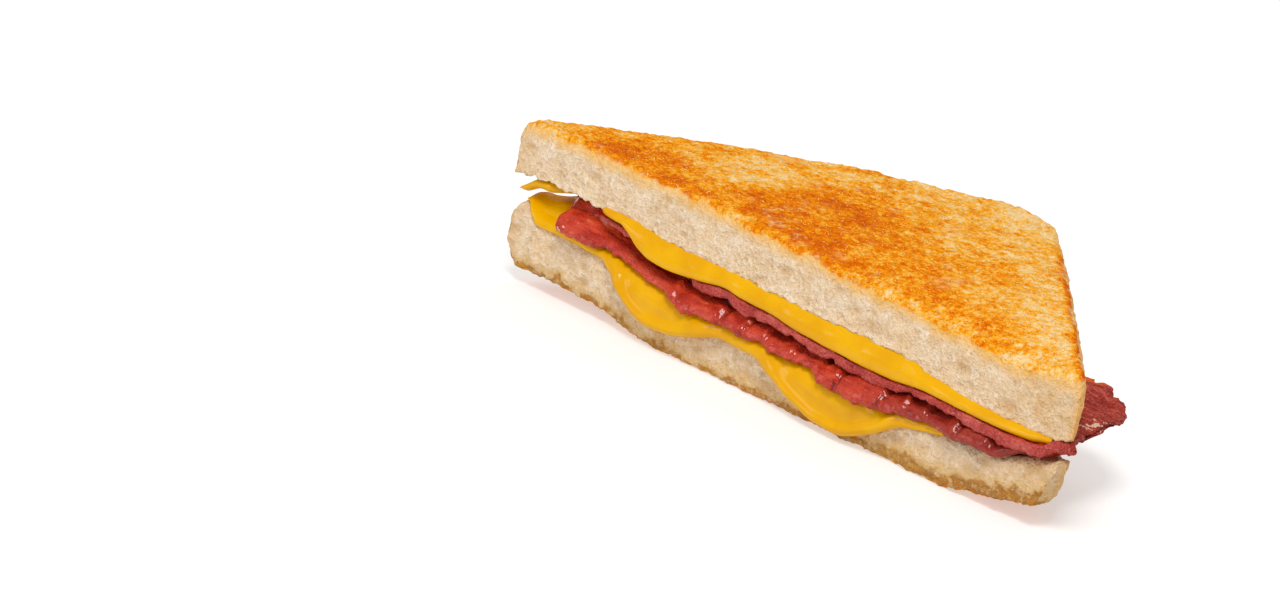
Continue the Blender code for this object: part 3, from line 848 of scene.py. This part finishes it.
def rasher_back(x):
    """The upper rasher's back edge: inside the crust, and then out along the flap."""
    inside = depth_of(UPPER_OUTLINE, x) - MEAT_INSET * math.sqrt(2)
    share = smooth((x - 30) / 8)
    return max(inside * (1 - share) + along(MEAT_FLAP, x) * share, 0.3)


def rasher_front(x):
    """The upper rasher's front edge: notched, and hidden behind the cheese's tongue."""
    notches = sum(depth * math.exp(-((x - at) / NOTCH_WIDTH) ** 2) for at, depth in NOTCHES)
    return (-1.55 + notches + 0.15 * wave(x, 1.3, 61) + 0.2 * wave(x, 7.0, 62) + 2.8 * tongue(x + 2)
            + 1.6 * smooth((-46 - x) / 6) - 0.7 * smooth((x - 56) / 8) + 1.4 * smooth((x - 68) / 9))


def upper_meat_piece():
    """The upper rasher, with its notched front edge and the torn flap at the right-hand end."""
    start, end = UPPER_MEAT_ENDS
    rings, rims, fats, edges = [], [], [], []
    for x in stations(start, end, MEAT_STEP):
        inset = end_inset(x, start, end, MEAT_END_RADIUS)
        front = rasher_front(x)
        loose = smooth((x - 40) / 5)
        back = rasher_back(x) + loose * (0.5 * wave(x, 3.0, 64) + 0.5 * wave(x, 1.1, 66))
        back = max(back, front + 1.5)
        thickness = (along(RASHER_THICKNESS, x) + 0.35 + 0.25 * wave(x, 2.6, 63)
                     + 0.22 * wave(x, 0.8, 65))

        def thinned(d):
            return thickness * (1 - FLAP_THINNING * smooth((x + d - 76) / 6))

        ring = band(front, back, lambda d: rasher_top(x, d) - thinned(d) + inset,
                    lambda d: rasher_top(x, d) - inset, (0.7, 0.5, 0.8), 66, 3.0)
        rings.append([(x, d, z) for d, z in ring])
        rims += [math.exp(-max(d - front - 0.3, 0.0) / 0.6) for d, z in ring]
        edges += [loose * math.exp(-((back - d) / 1.5) ** 2) for d, z in ring]
        fats += [loose * (1 - smooth((x - 51) / 4)) * math.exp(-((back - d) / 3.4) ** 2)
                 for d, z in ring]
    mesh = mesh_of("meat_upper_rasher", rings)
    points, normals = read_points(mesh)
    for i, (p, n) in enumerate(zip(points.copy(), normals)):
        outside = smooth((p[1] + p[0] - FLAP_FROM) / 4)
        near_front = smooth((6 - p[1]) / 4)
        lift = max(near_front, outside) * 1.1 * meat_grain(p, 71)
        lift += outside * relief(p, FLAP_RELIEF, 0)
        points[i] += n * lift
        points[i][2] += FLAP_WAVE * lumps(p, 9, 75) * outside
        notch = FLAP_NOTCH * math.exp(-((p[1] - FLAP_NOTCH_DEPTH) / 1.6) ** 2)
        torn = 0.6 + 0.7 * lumps(p, 2.2, 81) + 0.3 * lumps(p, 0.9, 82)
        points[i][0] -= outside * edges[i] * (notch + max(torn, 0.0))
    write_points(mesh, points)
    (x, depth), (length, width) = FLAP_FAT_AT, FLAP_FAT_SIZE
    away = ((points[:, 0] - x) / length) ** 2 + ((points[:, 1] - depth) / width) ** 2
    write_fields(mesh, rim=rims, inside=np.zeros(len(points)),
                 dull=np.clip((points[:, 0] + points[:, 1] - FLAP_FROM) / 4, 0, 1),
                 pale=np.exp(-away), fatty=fats)
    return place_piece("meat_upper_rasher", mesh, "meat_upper")


# ---------------------------------------------------------------- materials

def srgb(red, green, blue):
    """A colour given as it is seen, in 0 to 255, as the shader takes it."""
    def linear(c):
        c /= 255
        return c / 12.92 if c <= 0.04045 else ((c + 0.055) / 1.055) ** 2.4
    return (linear(red), linear(green), linear(blue), 1.0)


class Value:
    """A number or colour on its way through a material. Arithmetic on it adds Math nodes."""

    def __init__(self, finish, socket):
        self.finish, self.socket = finish, socket

    def maths(self, operation, *values):
        return self.finish.node("ShaderNodeMath", {"operation": operation},
                                dict(enumerate(values)))

    def __add__(self, other):
        return self.maths("ADD", self, other)

    def __sub__(self, other):
        return self.maths("SUBTRACT", self, other)

    def __mul__(self, other):
        return self.maths("MULTIPLY", self, other)

    def __rsub__(self, other):
        return self.maths("SUBTRACT", other, self)

    __radd__, __rmul__ = __add__, __mul__

    def between(self, low, high):
        """0 below low and 1 above high, with a smooth step between."""
        return self.finish.node("ShaderNodeMapRange", {"interpolation_type": "SMOOTHSTEP"},
                                {"Value": self, "From Min": low, "From Max": high})


class Finish:
    """The nodes of one material."""

    def __init__(self, name, roughness, **fixed):
        self.material = bpy.data.materials.new(name)
        self.material.use_nodes = True
        self.tree = self.material.node_tree
        self.shader = self.tree.nodes["Principled BSDF"]
        self.set("Roughness", roughness)
        for socket, value in fixed.items():
            self.shader.inputs[socket.replace("_", " ")].default_value = value

    def node(self, kind, settings=None, inputs=None, output=0):
        """Adds a node. Its settings come first, then the values or links of its sockets."""
        made = self.tree.nodes.new(kind)
        for name, value in (settings or {}).items():
            if name == "stops":
                self.fill_ramp(made.color_ramp, value)
            else:
                setattr(made, name, value)
        for name, value in (inputs or {}).items():
            self.feed(made.inputs[name], value)
        return Value(self, made.outputs[output])

    def fill_ramp(self, ramp, stops):
        while len(ramp.elements) < len(stops):
            ramp.elements.new(0.5)
        for element, (position, colour) in zip(ramp.elements, stops):
            element.position, element.color = position, colour

    def feed(self, socket, value):
        if isinstance(value, Value):
            self.tree.links.new(value.socket, socket)
        else:
            socket.default_value = value

    def set(self, socket, value):
        self.feed(self.shader.inputs[socket], value)

    def place(self, stretch=(1, 1, 1)):
        """Where the surface is, in millimetres, stretched along each way."""
        at = self.node("ShaderNodeTexCoord", output="Object")
        scale = [1 / (MM * s) for s in stretch]
        return self.node("ShaderNodeVectorMath", {"operation": "MULTIPLY"}, {0: at, 1: scale})

    def noise(self, size, detail=2.0, stretch=(1, 1, 1), roughness=0.5, shift=0.0):
        """Random relief from 0 to 1, with lumps of about that size in millimetres."""
        at = self.place(stretch)
        if shift:
            at = self.node("ShaderNodeVectorMath", {"operation": "ADD"}, {0: at, 1: [shift] * 3})
        return self.node("ShaderNodeTexNoise", None, {
            "Vector": at, "Scale": 1 / size, "Detail": detail, "Roughness": roughness})

    def field(self, name):
        """One of the numbers kept for each vertex."""
        return self.node("ShaderNodeAttribute", {"attribute_name": name}, output="Fac")

    def ramp(self, value, stops):
        return self.node("ShaderNodeValToRGB", {"stops": stops}, {"Fac": value})

    def mix(self, share, first, second):
        """first where share is 0 and second where it is 1."""
        return self.node("ShaderNodeMix", {"data_type": "RGBA"},
                         {"Factor": share, 6: first, 7: second}, output=2)

    def bump(self, height, strength):
        """Fine relief. height is in millimetres."""
        lit = self.node("ShaderNodeBump", None, {
            "Height": height * MM, "Strength": strength, "Distance": 1.0})
        self.set("Normal", lit)


TOASTED = [(0.0, srgb(234, 202, 146)), (0.18, srgb(234, 182, 94)), (0.36, srgb(234, 162, 36)),
           (0.55, srgb(228, 134, 4)), (0.75, srgb(216, 106, 0)), (1.0, srgb(196, 84, 0))]
TOAST_GLINT = srgb(252, 206, 100)
TOASTED_PINPRICK = srgb(196, 92, 0)
CRUMB = srgb(221, 194, 158)
CRUMB_LIGHT = srgb(243, 228, 208)
CRUMB_SHADE = srgb(200, 162, 116)
CRUMB_TUFT = srgb(244, 232, 216)
PORE_SHADE = srgb(190, 150, 100)
CRUMB_PATCH = srgb(224, 184, 130)
CRUMB_END_SHADE = srgb(204, 160, 100)
GOLD, PALE_GOLD, DULL_GOLD = srgb(222, 172, 100), srgb(236, 192, 126), srgb(204, 172, 124)
TAN, PALE_TAN = srgb(160, 117, 62), srgb(206, 174, 128)
CRUST = [(0.28, srgb(206, 130, 44)), (0.5, srgb(228, 168, 88)), (0.72, srgb(240, 200, 134))]
CHEESE_DEEP, CHEESE_YELLOW = srgb(213, 153, 0), srgb(220, 164, 0)
CHEESE_FLECK = srgb(240, 186, 10)
MEAT_FOLDS = [(0.32, srgb(132, 18, 4)), (0.46, srgb(174, 38, 12)), (0.58, srgb(200, 60, 28)),
              (0.74, srgb(212, 86, 44))]
# The dark red painted as shade in the lower rasher's valley and creases
MEAT_PAINTED_SHADE = srgb(74, 4, 1)
MEAT_EDGE = [(0.32, srgb(136, 40, 38)), (0.50, srgb(174, 72, 68)), (0.70, srgb(200, 110, 100))]
MEAT_ROUGH = [(0.34, srgb(104, 16, 12)), (0.48, srgb(140, 42, 34)), (0.64, srgb(196, 92, 78))]
FAT_STREAK, FAT_BROWNED, FAT_PALE = srgb(222, 150, 130), srgb(206, 88, 6), srgb(216, 182, 158)


def toast_finish(name, tanned):
    """White crumb inside, golden to brown on the toasted face, and a golden crust. tanned is how
    dull the brown that comes up the cut is."""
    made = Finish(name, 0.8, Specular_IOR_Level=0.02)
    toasted, rim = made.field("toasted"), made.field("rim")
    coarse, middle = made.noise(9, 2), made.noise(2.6, 2, shift=7)
    mottle = made.noise(4.5, 5, roughness=0.72, shift=13)
    fine, grain = made.noise(0.9, 2, shift=3), made.noise(0.4, 1, shift=11)
    crisp = made.noise(1.3, 3, roughness=0.7, shift=23)
    brown = (made.field("browning") + (coarse - 0.5) * 0.5 + (mottle - 0.5) * 1.8
             + (crisp - 0.5) * 1.5 + (fine - 0.5) * 1.0)
    skin = made.ramp(brown, TOASTED)
    # Painted highlight: pale glints on the grain of the toasted face
    glint = (fine * 0.5 + grain * 0.5).between(0.57, 0.66)
    skin = made.mix(glint * 0.75, skin, TOAST_GLINT)
    pinprick = 1 - (fine * 0.5 + grain * 0.5).between(0.34, 0.44)
    skin = made.mix(pinprick * 0.55, skin, TOASTED_PINPRICK)
    speckle = (middle * 0.35 + fine * 0.4 + grain * 0.25).between(0.34, 0.66)
    crumb = made.mix(speckle, CRUMB_SHADE, CRUMB_LIGHT)
    crumb = made.mix(0.55, crumb, CRUMB)
    tufts = made.noise(1.7, 3, roughness=0.65, shift=17)
    crumb = made.mix(tufts.between(0.56, 0.70) * 0.55, crumb, CRUMB_TUFT)
    # Painted shade in the pores of the cut
    crumb = made.mix(made.field("hollow") * 0.6, crumb, PORE_SHADE)
    crumb = made.mix(coarse.between(0.52, 0.72) * 0.3, crumb, CRUMB_PATCH)
    # Painted shade: darker, more golden crumb towards both ends of the cut
    end_shade_share = made.field("stain") * (0.42 + (middle - 0.5) * 1.6)
    crumb = made.mix(end_shade_share.between(0.0, 1.0), crumb, CRUMB_END_SHADE)
    golden = made.mix(middle, GOLD, PALE_GOLD)
    golden = made.mix(tanned * 0.8, golden, DULL_GOLD)
    depth = (toasted + (coarse - 0.5) * (3.0 + 2.0 * tanned)
             + (middle - 0.5) * (2.2 + 2.0 * tanned) + (fine - 0.5) * 0.8)
    inner = made.mix(depth.between(1.0, 3.8), golden, crumb)
    on_cut = made.field("cut") * tanned
    skin = made.mix(on_cut * (0.85 + (mottle - 0.5) * 0.8), skin, TAN)
    skin = made.mix(on_cut * tufts.between(0.48, 0.66) * 0.7, skin, PALE_TAN)
    colour = made.mix(depth.between(0.3, 1.3), skin, inner)
    crust = made.ramp(middle * 0.45 + fine * 0.3 + grain * 0.25, CRUST)
    near_crust = 1 - (rim + (middle - 0.5) * 1.8).between(0.3, 2.4)
    crust = made.mix(tanned * 0.5, crust, PALE_TAN)
    side = near_crust * toasted.between(0.6, 2.4)
    colour = made.mix(side * 0.85, colour, crust)
    made.set("Base Color", colour)
    made.set("Roughness", 0.9 - brown.between(0.4, 1.0) * 0.25)
    made.bump((fine - 0.5) * 0.7 + (grain - 0.5) * 0.35 + (tufts - 0.5) * 0.45, 1.0)
    return made.material


def cheese_finish():
    """Smooth melted cheese with faint ripples."""
    made = Finish("melted_cheese", 0.3, Subsurface_Weight=0.06,
                  Subsurface_Radius=(0.0018, 0.0009, 0.0002), Coat_Roughness=0.1,
                  Specular_IOR_Level=0.0)
    wide, small = made.noise(7, 2), made.noise(1.3, 2)
    colour = made.mix(wide.between(0.35, 0.65), CHEESE_DEEP, CHEESE_YELLOW)
    colour = made.mix(small.between(0.6, 0.8) * 0.15, colour, CHEESE_FLECK)
    made.set("Base Color", colour)
    made.set("Roughness", 0.26 + small * 0.12)
    made.set("Coat Weight", 0.38)
    made.bump((wide - 0.5) * 0.10 + (small - 0.5) * 0.04, 0.6)
    return made.material


def meat_finish():
    """Cooked cured meat: red glossy folds, a rough pinker cut edge, pale fat, and painted shade in the
    lower rasher's valley and creases.
    """
    made = Finish("cured_meat", 0.35, Coat_Roughness=0.06, Specular_IOR_Level=0.05)
    strands = made.noise(0.9, 3, (5, 1.2, 1))
    blotch, fine = made.noise(4.5, 2), made.noise(0.4, 2, shift=5)
    rim, inside, fatty = made.field("rim"), made.field("inside"), made.field("fatty")
    tone = strands * 0.5 + blotch * 0.4 + fine * 0.15
    colour = made.ramp(tone, MEAT_FOLDS)
    # Painted shade: the field "inside" darkens the lower rasher towards this dark red
    colour = made.mix(inside.between(0.0, 0.8) * 0.92, colour, MEAT_PAINTED_SHADE)
    edge = made.ramp(fine * 0.6 + blotch * 0.4, MEAT_EDGE)
    colour = made.mix(rim * 0.9, colour, edge)
    dull, pale = made.field("dull"), made.field("pale")
    rough = made.ramp(fine * 0.5 + strands * 0.5, MEAT_ROUGH)
    colour = made.mix(dull * 0.9, colour, rough)
    fat = made.noise(0.9, 2, (1.8, 1, 1), shift=21)
    colour = made.mix(fat.between(0.66, 0.76) * 0.35, colour, FAT_STREAK)
    colour = made.mix((fatty + (fat - 0.5) * 0.8).between(0.4, 0.65), colour, FAT_BROWNED)
    colour = made.mix((pale + (fat - 0.5) * 2.4).between(0.8, 1.0), colour, FAT_PALE)
    made.set("Base Color", colour)
    made.set("Roughness", 0.34 + rim * 0.3 + dull * 0.3 - blotch * 0.12)
    made.set("Coat Weight", (0.75 - rim * 0.6 - dull * 0.65).between(0.0, 0.75) * 0.5)
    made.bump((strands - 0.5) * 0.55 + (fine - 0.5) * 0.45, 0.9)
    return made.material


# ---------------------------------------------------------------- the sandwich

def dress(piece, material):
    piece.data.materials.clear()
    piece.data.materials.append(material)


def build_sandwich():
    cheese, meat = cheese_finish(), meat_finish()
    dress(toast_piece("toast_lower_slice", "toast_lower", LOWER_OUTLINE, underside, lower_top,
                      False, underside_browning, lower_spill, 100), toast_finish("toast_below", 1.0))
    dress(toast_piece("toast_upper_slice", "toast_upper", UPPER_OUTLINE, upper_underside, upper_top,
                      True, browning, upper_spill, 200), toast_finish("toast_above", 0.0))
    dress(lower_cheese_piece(), cheese)
    dress(upper_cheese_piece(), cheese)
    dress(lower_meat_piece(), meat)
    dress(upper_meat_piece(), meat)


# ---------------------------------------------------------------- floor, lights and camera

FLOOR_SIZE = 6.0
FLOOR_COLOUR = srgb(196, 197, 199)
FLOOR_GLOW_COLOUR = srgb(255, 252, 249)
FLOOR_GLOW = 0.45
WORLD_LIGHT = 0.48
# Name, azimuth, elevation, distance and size in metres, power in watts, colour
LAMPS = [("key", 34, 58, 1.2, 0.4, 9.3, (1.0, 0.98, 0.95)),
         ("front", -22, 26, 1.5, 0.7, 4.0, (1.0, 1.0, 1.0)),
         ("back", 200, 45, 1.4, 0.8, 4.0, (1.0, 0.99, 0.97))]
LENS = 154.4
SENSOR_WIDTH = 36.0
VIEW_AZIMUTH = 40.41
VIEW_ELEVATION = 16.77
VIEW_ROLL = 10.83
VIEW_DISTANCE = 1.1
LOOK_AT = Vector((0.0, CUT_Y + 22.0, 19.4)) * MM
AIM_LEFT = 0.0433


def outwards(azimuth, elevation):
    """The direction from the sandwich to a lamp or camera, by its angles in degrees."""
    a, e = math.radians(azimuth), math.radians(elevation)
    return Vector((math.sin(a) * math.cos(e), -math.cos(a) * math.cos(e), math.sin(e)))


def make_floor():
    """A plain pale floor. Part of its light is its own, so that shadows on it stay faint."""
    mesh = bpy.data.meshes.new("floor")
    half = FLOOR_SIZE / 2
    mesh.from_pydata([(-half, -half, 0), (half, -half, 0), (half, half, 0), (-half, half, 0)], [],
                     [(0, 1, 2, 3)])
    floor = bpy.data.objects.new("floor", mesh)
    bpy.context.scene.collection.objects.link(floor)
    made = Finish("pale_floor", 0.7)
    made.set("Base Color", FLOOR_COLOUR)
    made.set("Emission Color", FLOOR_GLOW_COLOUR)
    made.set("Emission Strength", FLOOR_GLOW)
    dress(floor, made.material)


def make_light(name, azimuth, elevation, distance, size, power, colour):
    """A soft square lamp that faces the sandwich."""
    lamp = bpy.data.lights.new(name, "AREA")
    lamp.size, lamp.energy, lamp.color = size, power, colour
    holder = bpy.data.objects.new(name, lamp)
    away = outwards(azimuth, elevation)
    holder.location = LOOK_AT + away * distance
    holder.rotation_euler = away.to_track_quat("Z", "Y").to_euler()
    bpy.context.scene.collection.objects.link(holder)


def make_lights():
    world = bpy.data.worlds.new("studio")
    bpy.context.scene.world = world
    world.use_nodes = True
    background = world.node_tree.nodes["Background"]
    background.inputs["Color"].default_value = (1.0, 1.0, 1.0, 1.0)
    background.inputs["Strength"].default_value = WORLD_LIGHT
    for lamp in LAMPS:
        make_light(*lamp)


def make_camera():
    """The camera, rolled a little, and aimed to the left so that the sandwich sits to the right."""
    lens = bpy.data.cameras.new("camera")
    lens.lens = LENS
    lens.sensor_width = SENSOR_WIDTH
    lens.clip_start, lens.clip_end = 0.05, 20.0
    camera = bpy.data.objects.new("camera", lens)
    bpy.context.scene.collection.objects.link(camera)
    a, roll = math.radians(VIEW_AZIMUTH), math.radians(VIEW_ROLL)
    away = outwards(VIEW_AZIMUTH, VIEW_ELEVATION)
    level = Vector((math.cos(a), math.sin(a), 0))
    upward = away.cross(level)
    right = level * math.cos(roll) + upward * math.sin(roll)
    up = upward * math.cos(roll) - level * math.sin(roll)
    seat = LOOK_AT + away * VIEW_DISTANCE
    back = (seat - (LOOK_AT - right * AIM_LEFT)).normalized()
    right = up.cross(back).normalized()
    up = back.cross(right)
    camera.matrix_world = Matrix.Translation(seat) @ Matrix((right, up, back)).transposed().to_4x4()
    bpy.context.scene.camera = camera


make_camera()
build_sandwich()
make_floor()
make_lights()
bpy.context.scene.view_settings.view_transform = "Standard"
